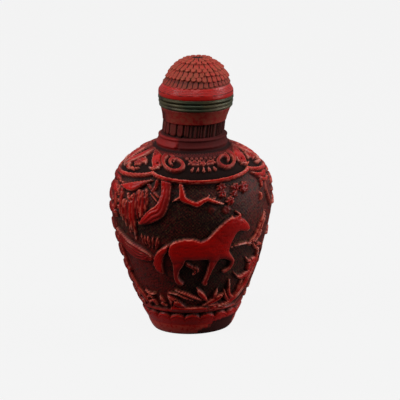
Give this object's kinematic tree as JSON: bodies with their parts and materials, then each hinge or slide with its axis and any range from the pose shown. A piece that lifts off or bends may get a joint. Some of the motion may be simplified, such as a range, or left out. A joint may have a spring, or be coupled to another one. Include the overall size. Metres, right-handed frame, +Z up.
{
  "type": "snuff bottle",
  "caption": "Small flattened bottle of carved red lacquer with a footed body, a relief scene, metal lip rings and a lift-off domed stopper",
  "frame": {"origin": "middle of the foot's underside, on the surface that the bottle stands on", "axes": "+Z up along the bottle, -Y towards the front with the walking horse, +X to the viewer's right; the wide faces look along -Y and +Y"},
  "size_m": [0.0458, 0.0364, 0.0761],
  "materials": {
    "lacquer": "carved red lacquer with a soft sheen, nearly black in the recesses",
    "collar_metal": "dull, dark, with green patina",
    "mount_metal": "dull, dark, with green patina",
    "dome_lacquer": "carved red lacquer with a soft sheen"
  },
  "bodies": {
    "root": {"bottle": "lacquer", "mouth_collar": "collar_metal", "stopper_mount": "mount_metal", "stopper_dome": "dome_lacquer"}
  },
  "joints": []
}
